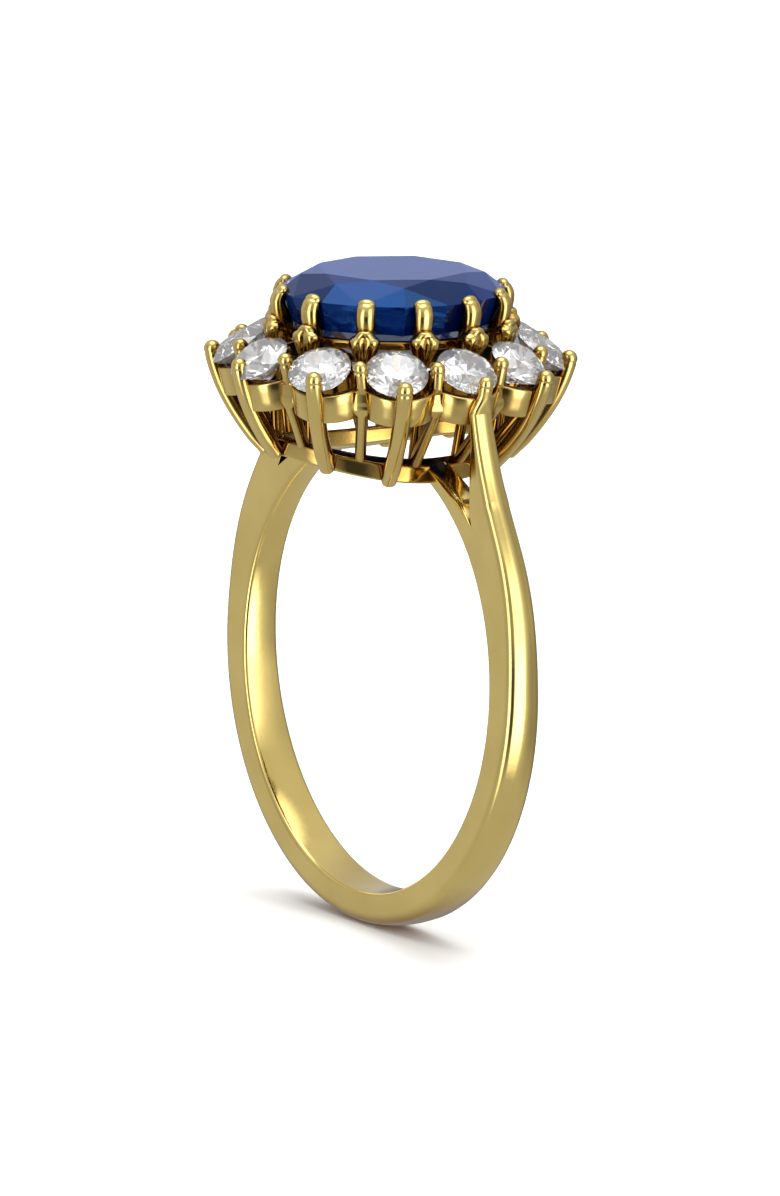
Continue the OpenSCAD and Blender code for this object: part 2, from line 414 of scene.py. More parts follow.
def multiply(nodes, links, first, second):
    node = add_node(nodes, "ShaderNodeMix", data_type="RGBA", blend_type="MULTIPLY")
    node.inputs["Factor"].default_value = 1.0
    links.new(first, node.inputs[6])
    links.new(second, node.inputs[7])
    return node.outputs[2]


def painted_shelter_shade(nodes, links, distance, stops):
    """Painted shade: a darker tone, from an ambient occlusion mask, for places that lie sheltered within
    distance millimetres of other metal.
    """
    node = add_node(nodes, "ShaderNodeAmbientOcclusion", samples=6, distance=distance * MM)
    return ramp(nodes, links, node.outputs["AO"], stops)


def gold_material(name, reach, shade):
    """Polished yellow gold: cloudy tone, fine polishing marks, and painted shade: a browner, darker tone
    in crevices and wherever other metal stands within reach, in mm. shade holds how open a place is where
    that painted shade is full and where it ends."""
    material, nodes, links, shader = new_material(name)
    shader.inputs["Metallic"].default_value = 1.0
    clouds = [(0.3, (0.74, 0.56, 0.19)), (0.7, (0.82, 0.63, 0.22))]
    tone = ramp(nodes, links, noise(nodes, links, 420), clouds)
    # Painted shade in crevices: gold within 0.5 mm of other metal is darkened and tinted brown.
    crevice_shade = painted_shelter_shade(nodes, links, 0.5, [(0.05, (0.75, 0.60, 0.38)), (0.6, grey(1.0))])
    # Painted shade inside the piece: gold with other metal within reach is darkened to brown.
    inside_shade_stops = [(shade[0], (0.38, 0.25, 0.09)), (shade[1], grey(1.0))]
    inside = painted_shelter_shade(nodes, links, reach, inside_shade_stops)
    tone = multiply(nodes, links, multiply(nodes, links, tone, crevice_shade), inside)
    links.new(tone, shader.inputs["Base Color"])
    polish = ramp(nodes, links, noise(nodes, links, 900, 4), [(0.35, grey(0.09)), (0.7, grey(0.15))])
    links.new(polish, shader.inputs["Roughness"])
    bump = add_node(nodes, "ShaderNodeBump", strength=0.12, distance=0.02 * MM)
    links.new(noise(nodes, links, 3200, 3), bump.inputs["Height"])
    links.new(bump.outputs["Normal"], shader.inputs["Normal"])
    return material


def facet_tone(nodes, links, darkest):
    """Each facet's painted light level, from darkest to white, as cut_stone has set it: painted
    reflections that make some facets lighter and some darker.
    """
    tone = add_node(nodes, "ShaderNodeAttribute", attribute_name="facet_tone")
    return ramp(nodes, links, tone.outputs["Fac"], [(0.0, grey(darkest)), (1.0, grey(1.0))])


def sapphire_material():
    """Deep blue corundum with faint colour zoning, painted reflections that darken some facets, and a
    blue glow where it is seen at a low angle.
    """
    material, nodes, links, shader = new_material("sapphire")
    blues = [(0.3, (0.0005, 0.006, 0.085)), (0.7, (0.001, 0.014, 0.15))]
    zone = ramp(nodes, links, noise(nodes, links, 500, 2), blues)
    # Painted reflections: the facets' painted light levels darken some facets down to 0.45 of the blue.
    facets = facet_tone(nodes, links, 0.45)
    links.new(multiply(nodes, links, zone, facets), shader.inputs["Base Color"])
    shader.inputs["Roughness"].default_value = 0.02
    shader.inputs["IOR"].default_value = 1.77
    shader.inputs["Transmission Weight"].default_value = 0.3
    shader.inputs["Specular Tint"].default_value = (0.05, 0.35, 1.0, 1)
    shader.inputs["Sheen Weight"].default_value = 1.0
    shader.inputs["Sheen Roughness"].default_value = 0.24
    shader.inputs["Sheen Tint"].default_value = (0.10, 0.27, 1.0, 1)
    return material


def diamond_material():
    """Colourless diamond with the faintest grey clouding, and painted reflections that grey some facets.
    """
    material, nodes, links, shader = new_material("diamond")
    whites = [(0.3, (0.96, 0.97, 0.99)), (0.6, grey(1.0))]
    cloud = ramp(nodes, links, noise(nodes, links, 1500, 2), whites)
    # Painted reflections: the facets' painted light levels grey some facets down to 0.86.
    facets = facet_tone(nodes, links, 0.86)
    links.new(multiply(nodes, links, cloud, facets), shader.inputs["Base Color"])
    shader.inputs["Roughness"].default_value = 0.0
    shader.inputs["IOR"].default_value = 2.42
    shader.inputs["Transmission Weight"].default_value = 0.84
    return material


# Two copies of one gold that differ only in painted shade: the shank's reaches 3.5 mm, the head's reaches
# 8 mm and is darker.
GOLD = gold_material("yellow_gold", 3.5, (0.15, 0.6))
HEAD_GOLD_DEEP_SHADE = gold_material("yellow_gold_head", 8, (0.6, 0.9))
SAPPHIRE = sapphire_material()
DIAMOND = diamond_material()


# ---------------------------------------------------------------- camera, floor and light

VIEW_AZIMUTH = math.radians(57.3)
VIEW_ELEVATION = math.radians(11.0)
VIEW_ROLL = math.radians(1.7)
VIEW_DISTANCE = 1.0
VIEW_HEIGHT = 0.046  # metres that the picture's long side spans at the ring
AIM = Vector((0.0, 0.3, 2.65)) * MM


def make_camera():
    data = bpy.data.cameras.new("camera")
    cam = bpy.data.objects.new("camera", data)
    bpy.context.scene.collection.objects.link(cam)
    bpy.context.scene.camera = cam
    a, e = VIEW_AZIMUTH, VIEW_ELEVATION
    right = Vector((math.cos(a), math.sin(a), 0))
    back = Vector((math.sin(a) * math.cos(e), -math.cos(a) * math.cos(e), math.sin(e)))
    place = Matrix.Translation(AIM + back * VIEW_DISTANCE)
    axes = Matrix((right, back.cross(right), back)).transposed().to_4x4()
    cam.matrix_world = place @ axes @ Matrix.Rotation(VIEW_ROLL, 4, "Z")
    data.sensor_fit = "AUTO"
    data.lens = data.sensor_width * VIEW_DISTANCE / VIEW_HEIGHT
    data.clip_start = 0.01
    data.clip_end = 10


def make_stage():
    """A white floor. It stays out of reflections, which show only the studio."""
    size = 3.0
    mesh = bpy.data.meshes.new("floor")
    z = cad_low.z
    corners = [(-size, -size, z), (size, -size, z), (size, size, z), (-size, size, z)]
    mesh.from_pydata(corners, [], [(0, 1, 2, 3)])
    floor = bpy.data.objects.new("floor", mesh)
    bpy.context.scene.collection.objects.link(floor)
    material, nodes, links, shader = new_material("floor_white")
    shader.inputs["Base Color"].default_value = (0.96, 0.96, 0.96, 1)
    shader.inputs["Roughness"].default_value = 0.9
    mesh.materials.append(material)
    floor.visible_glossy = False
    floor.visible_transmission = False


# Brightness of the studio round the ring, as (degrees from +X towards +Y, level): a little below
# eye level, and above it. A softbox stands on each side of the camera, with a dark gap between them.
STUDIO_LOW = [
    (-180, 0.4),
    (-165, 0.55),
    (-147, 0.63),
    (-112, 0.5),
    (-88, 0.55),
    (-82, 1.6),
    (-74, 3.6),
    (-60, 3.6),
    (-54, 0.5),
    (-42, 0.06),
    (-24, 0.06),
    (-13, 0.5),
    (-7, 2.2),
    (2, 4.0),
    (22, 4.0),
    (28, 1.3),
    (34, 0.78),
    (45, 0.48),
    (60, 0.36),
    (80, 0.3),
    (110, 0.22),
    (147, 0.28),
    (165, 0.35),
    (180, 0.4),
]
STUDIO_HIGH = [
    (-180, 0.55),
    (-147, 0.6),
    (-112, 0.45),
    (-88, 0.5),
    (-72, 2.6),
    (-60, 2.6),
    (-52, 0.5),
    (-33, 0.35),
    (-14, 0.5),
    (-5, 2.0),
    (20, 3.0),
    (27, 1.6),
    (34, 1.0),
    (45, 0.66),
    (60, 0.5),
    (85, 0.35),
    (115, 0.45),
    (147, 0.6),
    (180, 0.55),
]
STUDIO_TOP = 0.74
STUDIO_ZENITH = 3.0
STUDIO_BELOW = 0.56
BACKDROP = 1.1
KEY_FROM = Vector((-0.35, 0.38, 0.86))
KEY_POWER = 1.5
KEY_SPREAD = math.radians(64)


def make_light():
    """The studio as the world, white behind the ring, and a soft key for the shadow on the floor."""
    world = bpy.data.worlds.new("studio")
    bpy.context.scene.world = world
    world.use_nodes = True
    nodes, links = world.node_tree.nodes, world.node_tree.links
    background = nodes["Background"]
    place = add_node(nodes, "ShaderNodeTexCoord")
    split = add_node(nodes, "ShaderNodeSeparateXYZ")
    links.new(place.outputs["Generated"], split.inputs["Vector"])
    angle = add_node(nodes, "ShaderNodeMath", operation="ARCTAN2")
    links.new(split.outputs["Y"], angle.inputs[0])
    links.new(split.outputs["X"], angle.inputs[1])
    turn = add_node(nodes, "ShaderNodeMapRange")
    turn.inputs["From Min"].default_value = -math.pi
    turn.inputs["From Max"].default_value = math.pi
    links.new(angle.outputs["Value"], turn.inputs["Value"])
    peak = max(level for degrees, level in STUDIO_LOW)

    def round_the_ring(levels):
        stops = [((degrees + 180) / 360, grey(level / peak)) for degrees, level in levels]
        return ramp(nodes, links, turn.outputs["Result"], stops)

    def blend(first, second, low, high):
        """Fades from first to second as the direction rises from low to high."""
        fade = add_node(nodes, "ShaderNodeMapRange")
        fade.inputs["From Min"].default_value = low
        fade.inputs["From Max"].default_value = high
        links.new(split.outputs["Z"], fade.inputs["Value"])
        node = add_node(nodes, "ShaderNodeMix", data_type="RGBA")
        links.new(fade.outputs["Result"], node.inputs["Factor"])
        for socket, value in ((6, first), (7, second)):
            if isinstance(value, float):
                node.inputs[socket].default_value = (*grey(value / peak), 1)
            else:
                links.new(value, node.inputs[socket])
        return node.outputs[2]

    sides = blend(round_the_ring(STUDIO_LOW), round_the_ring(STUDIO_HIGH), low=-0.05, high=0.12)
    above = blend(sides, STUDIO_TOP, low=0.5, high=0.72)
    roof = blend(above, STUDIO_ZENITH, low=0.86, high=0.95)
    room = blend(STUDIO_BELOW, roof, low=-0.65, high=-0.35)
    seen = add_node(nodes, "ShaderNodeLightPath")
    final = add_node(nodes, "ShaderNodeMix", data_type="RGBA")
    links.new(seen.outputs["Is Camera Ray"], final.inputs["Factor"])
    links.new(room, final.inputs[6])
    final.inputs[7].default_value = (*grey(BACKDROP / peak), 1)
    links.new(final.outputs[2], background.inputs["Color"])
    background.inputs["Strength"].default_value = peak

    data = bpy.data.lights.new("soft_key", "SUN")
    data.energy = KEY_POWER
    data.angle = KEY_SPREAD
    key = bpy.data.objects.new("soft_key", data)
    key.rotation_euler = KEY_FROM.to_track_quat("Z", "Y").to_euler()
    key.visible_glossy = False
    bpy.context.scene.collection.objects.link(key)
    bpy.context.scene.view_settings.view_transform = "Standard"


make_camera()
make_stage()
make_light()

# ---------------------------------------------------------------- shank

SHOULDER_START = math.radians(2)
FORK = Vector((6.94, 0, 6.69))
FORK_ANGLE = math.atan2(FORK.z, FORK.x)
ARM_TOP = Vector((6.49, 0, 11.05))
ARM_TIP = Vector((6.8, 0, 12.22))
ARM_HALF_T = 0.25
ARM_HALF_W = 0.46
ARM_TIP_R = 0.29
ARM_END_X = RAIL_OVAL[0] + 0.1

# Corner radii, the comfort fit of the finger hole's edges and the rise of the domed faces
BOTTOM_CORNER = 0.44
OUTER_CORNER = 0.32
ARM_CORNER = 0.22
FORK_CORNER = 0.2
INNER_CORNER = 0.18
NO_CORNER = 0.01
INNER_RELIEF = 0.04
HOOP_DOME = 0.06
ARM_DOME = 0.05

# Sections along the parts of the shank
HOOP_STEPS = 97
LOWER_STEPS = 25
UPPER_STEPS = 41

# Points along the parts of a section
CORNER = 5
FORK_FLAT = 5
SIDE_LOW = 4
SIDE_HIGH = 6


def polar(radius, angle):
    return Vector((radius * math.cos(angle), 0, radius * math.sin(angle)))


def bezier(p, t):
    u = 1 - t
    return u**3 * p[0] + 3 * t * u * u * p[1] + 3 * t * t * u * p[2] + t**3 * p[3]


def shoulder_curve():
    start = Vector((0, 0, HOOP_LIFT)) + polar(HOOP_R, SHOULDER_START)
    end = ARM_TOP + Vector((ARM_HALF_T, 0, 0))
    corners = (start, start + Vector((-0.2, 0, 5.75)), end + Vector((1.3, 0, -4.75)), end)
    return [bezier(corners, t) for t in steps(161)]


SHOULDER = shoulder_curve()


def direction(p):
    return math.atan2(p.z, p.x)


def hoop_outside(angle):
    """The outer edge of the hoop or shoulder in the direction of angle."""
    if angle <= direction(SHOULDER[0]):
        reach = HOOP_LIFT * math.cos(angle)
        return polar(HOOP_LIFT * math.sin(angle) + math.sqrt(HOOP_R**2 - reach**2), angle)
    for p, q in zip(SHOULDER, SHOULDER[1:]):
        a, b = direction(p), direction(q)
        if a <= angle <= b:
            return mix(p, q, (angle - a) / (b - a))
    return SHOULDER[-1]


def hoop_half_width(z):
    """The shank is widest at the bottom and slims evenly towards the head."""
    return mix(HOOP_HALF_W, ARM_HALF_W, (z - SHANK_LOW.z) / (ARM_TOP.z - SHANK_LOW.z))


def arc(cx, cy, r, start):
    """Points inside a quarter turn from start degrees, without its two ends."""
    turn = [math.radians(start + 90 * (i + 1) / (CORNER + 1)) for i in range(CORNER)]
    return [(cx + r * math.cos(a), cy + r * math.sin(a)) for a in turn]


def line(p, q, count):
    return [(mix(p[0], q[0], t), mix(p[1], q[1], t)) for t in steps(count)]


def mirrored(loop):
    return [(-y, q) for y, q in reversed(loop)]


def inner_half(w, r, top):
    """Right half of a section's inner side: half its rounded face, a corner and the side up to top."""
    face = [(y, INNER_RELIEF * (y / (w - r)) ** 2) for y, q in line((0, 0), (w - r, 0), 4)[1:]]
    edge = INNER_RELIEF + r
    return face + arc(w - r, edge, r, -90) + line((w, edge), (w, top), SIDE_LOW)


def outer_half(w, h, r, dome, bottom):
    """Right half of a section's outer side: the side from bottom, a corner and half the domed face."""
    edge = h - dome
    face = [(y, edge + dome * (1 - (y / (w - r)) ** 2)) for y, q in line((w - r, 0), (0, 0), 5)]
    return line((w, bottom), (w, edge - r), SIDE_HIGH) + arc(w - r, edge - r, r, 0) + face[:-1]


def hoop_loop(w, h, r_in, r_out, dome, split):
    """Inner point, right side, outer point, left side. The sides have a point at height split,
    where the fork opens later."""
    low = inner_half(w, r_in, split)
    high = outer_half(w, h, r_out, dome, split)[1:]
    return [(0, 0)] + low + high + [(0, h)] + mirrored(high) + mirrored(low)


def fork_line(w, q, r, sign):
    """Points across the new face that a fork opens, from right to left. sign is 1 on the lower
    arm's top face and -1 on the upper arm's inner face."""
    flat = line((w - r, q), (-w + r, q), FORK_FLAT)
    corner = [(y, q + sign * (p - q)) for y, p in arc(w - r, q - r, r, 0)]
    return corner + flat + mirrored(corner)


def lower_arm_loop(w, h, r_in, r):
    low = inner_half(w, r_in, h - r)
    return [(0, 0)] + low + fork_line(w, h, r, 1) + mirrored(low)


def upper_arm_loop(w, h, r, r_out, dome):
    high = outer_half(w, h, r_out, dome, r)
    return high + [(0, h)] + mirrored(high) + list(reversed(fork_line(w, 0, r, -1)))


def place_loop(loop, inner, outer):
    up = (outer - inner).normalized()
    return [inner + up * q + Vector((0, y, 0)) for y, q in loop]


def flipped(points):
    return [Vector((-p.x, p.y, p.z)) for p in points]


def hoop_loops():
    """Sections from the bottom of the hoop to the fork."""
    fork_height = FORK.length - FINGER_R
    loops = []
    for t in steps(HOOP_STEPS):
        angle = mix(-math.pi / 2, FORK_ANGLE, t)
        inner, outer = polar(FINGER_R, angle), hoop_outside(angle)
        h = (outer - inner).length
        w = hoop_half_width(mix(inner.z, outer.z, 0.5))
        corner = mix(BOTTOM_CORNER, OUTER_CORNER, t)
        split = mix(0.4 * h, fork_height, t**4)
        loop = hoop_loop(w, h, INNER_CORNER, corner, HOOP_DOME, split)
        loops.append(place_loop(loop, inner, outer))
    return loops


def lower_arm_loops():
    """Sections of the arm that follows the finger hole from the fork to the base rail."""
    fork_w = hoop_half_width(FORK.z)
    end = Vector((ARM_END_X, 0, arch_z(RAIL_R, (ARM_END_X,))))
    route = [FORK, Vector((5.95, 0, 7.45)), Vector((5.1, 0, 7.93)), Vector((4.4, 0, 8.25)), end]
    loops = []
    tops = even_path(smooth_path(route, 8), LOWER_STEPS)
    for t, top in zip(steps(LOWER_STEPS), tops):
        inner = polar(FINGER_R, mix(FORK_ANGLE, math.acos(ARM_END_X / FINGER_R), t))
        w = mix(fork_w, fork_w - 0.05, t)
        corner = mix(NO_CORNER, FORK_CORNER, min(t * 3, 1))
        loop = lower_arm_loop(w, (top - inner).length, INNER_CORNER, corner)
        loops.append(place_loop(loop, inner, top))
    return loops


def upper_arm_loops():
    """Sections of the arm that rises from the fork to the halo."""
    fork_w = hoop_half_width(FORK.z)
    end = ARM_TOP - Vector((ARM_HALF_T, 0, 0))
    route = [FORK, Vector((6.66, 0, 7.6)), Vector((6.5, 0, 8.8)), Vector((6.46, 0, 9.9)), end]
    inside = even_path(smooth_path(route, 10), UPPER_STEPS)
    cut = hoop_outside(FORK_ANGLE)
    outside = even_path([cut] + [p for p in SHOULDER if p.z > cut.z], UPPER_STEPS)
    loops = []
    for t, inner, outer in zip(steps(UPPER_STEPS), inside, outside):
        w = hoop_half_width(mix(inner.z, outer.z, 0.5))
        w = mix(fork_w, w, min(t * 4, 1))
        inner_corner = mix(NO_CORNER, FORK_CORNER, min(t * 2, 1))
        outer_corner = mix(OUTER_CORNER, ARM_CORNER, t)
        loop = upper_arm_loop(w, (outer - inner).length, inner_corner, outer_corner, ARM_DOME)
        loops.append(place_loop(loop, inner, outer))
    return loops


def arm_claw_loops():
    """Sections of the claw that the upper arm ends in, with its crease and round tip."""
    d = (ARM_TIP - ARM_TOP).normalized()
    across = Vector((d.z, 0, -d.x))
    claw = [mix(ARM_TOP, ARM_TIP, t) for t in steps(24)][1:]
    loops = []
    for i, p in enumerate(claw):
        root, tip = (ARM_HALF_W, ARM_HALF_T), (ARM_TIP_R, ARM_TIP_R)
        half_w, half_t = blend_list([root, tip], (i + 1) / 15)
        away = ((p - ARM_TIP).length - CREASE_BELOW) / CREASE_WIDTH
        groove = 1 - CREASE_DEPTH * math.exp(-away * away)
        half_w, half_t = half_w * groove, half_t * groove
        r = min(half_t, half_w) * 0.96
        loop = upper_arm_loop(half_w, 2 * half_t, r, r - 0.02, 0.01)
        loops.append(place_loop(loop, p - across * half_t, p + across * half_t))
    rim = loops[-1]
    for b in (0.25, 0.5, 0.75, 1.0, 1.22, 1.42):
        rise = ARM_TIP + d * ARM_TIP_R * math.sin(b)
        loops.append([rise + (q - ARM_TIP) * math.cos(b) for q in rim])
    return loops


def make_shank():
    hoop, lower = hoop_loops(), lower_arm_loops()
    upper = upper_arm_loops() + arm_claw_loops()
    points, faces = [], []

    def add(loop):
        points.extend(loop)
        return list(range(len(points) - len(loop), len(points)))

    def as_made(loop):
        return loop

    right = [add(loop) for loop in hoop]
    left = [right[0]] + [add(flipped(loop)) for loop in hoop[1:]]
    low_count = len(inner_half(1, 0.1, 0.5))
    crotch = lower[0][low_count + 1 : low_count + 1 + 2 * CORNER + FORK_FLAT]
    for place, rings in ((as_made, right), (flipped, left)):
        for a, b in zip(rings, rings[1:]):
            faces += bridge(a, b)
        ring = rings[-1]
        new = add(place(crotch))
        low_ring = ring[: low_count + 1] + new + ring[len(ring) - low_count :]
        high_ring = ring[low_count : len(ring) - low_count + 1] + list(reversed(new))
        for last, loops in ((low_ring, lower), (high_ring, upper)):
            for loop in loops[1:]:
                this = add(place(loop))
                faces += bridge(last, this)
                last = this
            faces.append(tuple(last))
    obj = make_piece("ring_shank", points, faces, GOLD, sharp=38)
    finish_piece(obj, "yellow_gold", "shank")


# ---------------------------------------------------------------- rails


def make_base_rail():
    """An oval band bent over the finger hole."""
    loops = []
    for a in full_turn(160):
        middle, out = on_oval(RAIL_OVAL, a), outward(a, RAIL_OVAL)
        loop = []
        for across, up in rounded_box(RAIL_W / 2, RAIL_R - FINGER_R, 0.1):
            p = middle + out * across
            p.z = arch_z(FINGER_R + up, p)
            loop.append(p)
        loops.append(loop)
    obj = make_piece("ring_base_rail", *loft(loops, closed=True), HEAD_GOLD_DEEP_SHADE)
    finish_piece(obj, "yellow_gold", "base_rail")


CENTRE_RING_Z = 13.2
CENTRE_RING_BAR = 0.36


def make_centre_gallery():
    """A flat oval bar between the centre claws."""
    loops = []
    for a in full_turn(128):
        low = on_oval(CENTRE_RING_OVAL, a, CENTRE_RING_Z - CENTRE_RING_BAR / 2)
        out = outward(a, CENTRE_RING_OVAL)
        bar = rounded_box(CENTRE_RING_BAR / 2, CENTRE_RING_BAR, 0.1)
        loops.append([low + out * x + Vector((0, 0, y)) for x, y in bar])
    obj = make_piece("ring_centre_gallery", *loft(loops, closed=True), HEAD_GOLD_DEEP_SHADE)
    finish_piece(obj, "yellow_gold", "centre_gallery")


COLLET_R = 1.47
COLLET_WALL = 0.36
COLLET_H = 1.15
COLLET_TILT = math.radians(16)


def collet_axes(k, tilt):
    """Outward, sideways and up directions of a seat that leans outward."""
    o, s = outward(stone_angle(k)), sideways(stone_angle(k))
    up = Vector((0, 0, 1)) * math.cos(tilt) + o * math.sin(tilt)
    return s.cross(up), s, up


def collet_mesh(bm, k):
    """A leaning tube, cut off where the next ones begin."""
    centre = on_oval(GALLERY_OVAL, stone_angle(k), GALLERY_Z)
    out, side, up = collet_axes(k, COLLET_TILT)
    wall = rounded_box(COLLET_WALL / 2, COLLET_H, 0.08, corner=4, flat=2)
    middle_r = COLLET_R - COLLET_WALL / 2
    loops = []
    for a in full_turn(72):
        d = out * math.cos(a) + side * math.sin(a)
        loops.append([centre + d * (middle_r + x) + up * (y - COLLET_H / 2) for x, y in wall])
    points, faces = loft(loops, closed=True)
    part = bmesh.new()
    verts = [part.verts.new(p * MM) for p in points]
    for face in faces:
        part.faces.new([verts[j] for j in face])
    for angle, sign in ((gap_angle(k), 1), (gap_angle(k - 1), -1)):
        normal = Vector((-math.sin(angle), math.cos(angle), 0)) * sign
        slice_off(part, (0, 0, 0), normal)
    bmesh.ops.recalc_face_normals(part, faces=part.faces[:])
    temp = bpy.data.meshes.new("collet")
    part.to_mesh(temp)
    part.free()
    bm.from_mesh(temp)
    bpy.data.meshes.remove(temp)


def make_halo_gallery():
    bm = bmesh.new()
    for k in range(1, STONES + 1):
        collet_mesh(bm, k)
    mesh = bpy.data.meshes.new("ring_halo_gallery")
    bm.to_mesh(mesh)
    bm.free()
    mesh.shade_smooth()
    mesh.set_sharp_from_angle(angle=math.radians(40))
    finish_piece(link("ring_halo_gallery", mesh, HEAD_GOLD_DEEP_SHADE), "yellow_gold", "halo_gallery")


# ---------------------------------------------------------------- claws

OUTER_TIP_Z = 12.25
SHARED_TIP_Z = 12.68
CENTRE_TIP_Z = 14.74
BEAD_Z = 13.52
PLATE_LOW_Z = 10.95
PLATE_HIGH_Z = 11.8
OUTER_CLAW_R = 0.33
SHARED_CLAW_R = 0.3
CENTRE_CLAW_R = 0.37
OUTER_BOW = 0.62
ARM_DIP = 0.18
PLATE_CHANGE = 0.16
GROOVE_ABOVE = 0.06
GROOVE_WIDTH = 0.045
GROOVE_DEPTH = 0.1


def finish_claws(name, node, points, faces):
    obj = make_piece(name, points, faces, HEAD_GOLD_DEEP_SHADE, sharp=60)
    finish_piece(obj, "yellow_gold", node)


def make_wire_claw(node, path, sizes, side, dome, foot=0.0):
    section = creased(shaped_section(sizes), path_length(path))
    finish_claws(f"ring_{node}", node, *wire(path, section, side, dome=dome, foot=foot))


def make_outer_claw(k):
    """A bowed wire from the base rail to the outer rim of stone k. The four next to an arm of the
    shank end a little lower."""
    a = stone_angle(k)
    beside_arm = k % (STONES // 2) in (0, 2)
    tip_z = OUTER_TIP_Z - (ARM_DIP if beside_arm else 0)
    foot = rail_point(grown(RAIL_OVAL, 0.36), stone_angle(k, RAIL_SPREAD), FINGER_R + 0.12)
    top = on_oval(OUTER_OVAL, a, tip_z)
    path = []
    for t in steps(24):
        p = mix(foot, top, t + OUTER_BOW * t * (1 - t))
        p.z = mix(foot.z, top.z, t)
        path.append(p)
    r = OUTER_CLAW_R
    middle = [(r, r, 2.5), (r * 0.98, r * 0.98, 2.4), (r, r, 2.3), (r, r, 2.1)]
    sizes = [(r * 0.9, r * 0.9, 2.4), *middle, (r, r, 2)]
    make_wire_claw(f"outer_claw_{k}", fine_path(path), sizes, sideways(a), r, foot=0.22)


def make_shared_claw(k):
    """A claw between stones k and k + 1: a strut, a flat plate against the gallery, a round tip."""
    a = gap_angle(k)
    r = SHARED_CLAW_R
    foot = rail_point(grown(RAIL_OVAL, 0.05), gap_angle(k, RAIL_SPREAD), RAIL_R, drop=0.08)
    low = on_oval(PLATE_OVAL, a, PLATE_LOW_Z)
    high = on_oval(grown(PLATE_OVAL, 0.06), a, PLATE_HIGH_Z)
    top = on_oval(SHARED_OVAL, a, SHARED_TIP_Z)
    route = [foot, mix(foot, low, 0.5), low, mix(low, high, 0.5), high, mix(high, top, 0.5), top]
    path = fine_path(route)
    length = path_length(path)
    plate_at = [(low - foot).length / length, 1 - (top - high).length / length]
    strut, plate, tip = (0.22, 0.24, 2.6), (0.39, 0.21, 4), (r, r, 2)

    def section(t, angle):
        """The three forms, with quick changes between them and a groove above the plate."""
        first, second = ((t - at) * length / PLATE_CHANGE + 0.5 for at in plate_at)
        if t < sum(plate_at) / 2:
            s, u, power = blend_list([strut, plate], first)
        else:
            s, u, power = blend_list([plate, tip], second)
        away = ((t - plate_at[1]) * length - GROOVE_ABOVE) / GROOVE_WIDTH
        groove = 1 - GROOVE_DEPTH * math.exp(-(away**2))
        across = s * groove * power_curve(math.cos(angle), power)
        return across, u * groove * power_curve(math.sin(angle), power)

    node = f"shared_claw_{k}"
    finish_claws(f"ring_{node}", node, *wire(path, creased(section, length), sideways(a), dome=r))


def bead_profile(length):
    """(height, radius, lobes, flutes) up an inner claw: a slim strut, a fluted cone and a cap of
    two beads side by side."""
    return [
        (0, 0.22, 0, 0),
        (length * 0.5, 0.2, 0, 0),
        (length - 1.15, 0.19, 0, 0),
        (length - 1.0, 0.23, 0.2, 0.5),
        (length - 0.7, 0.37, 0.5, 1),
        (length - 0.4, 0.5, 0.8, 1),
        (length - 0.2, 0.585, 0.95, 0.7),
        (length - 0.08, 0.61, 1, 0.3),
        (length + 0.02, 0.595, 1, 0),
        (length + 0.11, 0.51, 1, 0),
        (length + 0.18, 0.4, 0.8, 0),
        (length + 0.28, 0.33, 0.4, 0),
        (length + 0.38, 0.23, 0.2, 0),
        (length + 0.42, 0.1, 0, 0),
    ]


def lobed(angle, amount, flutes):
    """Reach of two beads side by side, which shrink to a circle as amount goes to 0."""
    offset, radius = 0.46, 0.54
    two = offset * abs(math.cos(angle)) + math.sqrt(radius**2 - (offset * math.sin(angle)) ** 2)
    return mix(1, two, amount * 0.85) * (1 + 0.07 * flutes * math.cos(10 * angle))


def inner_claw_loops(k):
    """Sections of one inner claw, from the base rail up to its bead."""
    a = gap_angle(k)
    foot = rail_point(grown(RAIL_OVAL, -0.06), gap_angle(k, RAIL_SPREAD), RAIL_R, drop=0.15)
    head = on_oval(BEAD_OVAL, a, BEAD_Z)
    axis = (head - foot).normalized()
    side = sideways(a)
    across = axis.cross(side)
    rows = [Vector(row) for row in bead_profile((head - foot).length)]
    loops = []
    for row in smooth_path(rows, 4):
        loop = []
        for b in full_turn(BEAD_SIDES):
            reach = row[1] * lobed(b, row[2], row[3])
            beside = foot + axis * row[0] + side * reach * math.cos(b)
            loop.append(beside + across * reach * math.sin(b))
        loops.append(loop)
    return loops


def make_inner_claws():
    points, faces = [], []
    for k in range(1, STONES + 1):
        claw_points, claw_faces = loft(inner_claw_loops(k))
        faces += [tuple(i + len(points) for i in face) for face in claw_faces]
        points += claw_points
    finish_claws("ring_inner_claws", "inner_claws", points, faces)


def make_centre_claw(k):
    """A wire that rises outside the centre stone's girdle and folds over it."""
    a = gap_angle(k)
    r = CENTRE_CLAW_R
    foot = on_oval(grown(GIRDLE_OVAL, -0.22, -0.26), a, CENTRE_RING_Z - 0.2)
    knee = on_oval(grown(GIRDLE_OVAL, 0.16, 0.15), a, CENTRE_TIP_Z - 0.45)
    shoulder = on_oval(grown(GIRDLE_OVAL, 0.13, 0.12), a, CENTRE_TIP_Z - 0.12)
    tip = on_oval(grown(GIRDLE_OVAL, -0.02, -0.02), a, CENTRE_TIP_Z + 0.1)
    path = fine_path([foot, mix(foot, knee, 0.5), knee, shoulder, tip], 0.035)
    root = [(r * 0.9, r * 0.9, 2.2), (r * 0.97, r * 0.93, 2.3), (r, r * 0.9, 2.3)]
    sizes = [*root, (r, r * 0.8, 2.1), (r * 0.95, r * 0.66, 2)]
    make_wire_claw(f"centre_claw_{k}", path, sizes, sideways(a), r * 0.62)


# ---------------------------------------------------------------- stones


def plane_through(p, q, r):
    """A point and the normal of a plane, pointing away from the middle of the stone."""
    n = (q - p).cross(r - p).normalized()
    return p, (n if n.dot(p) > 0 else -n)


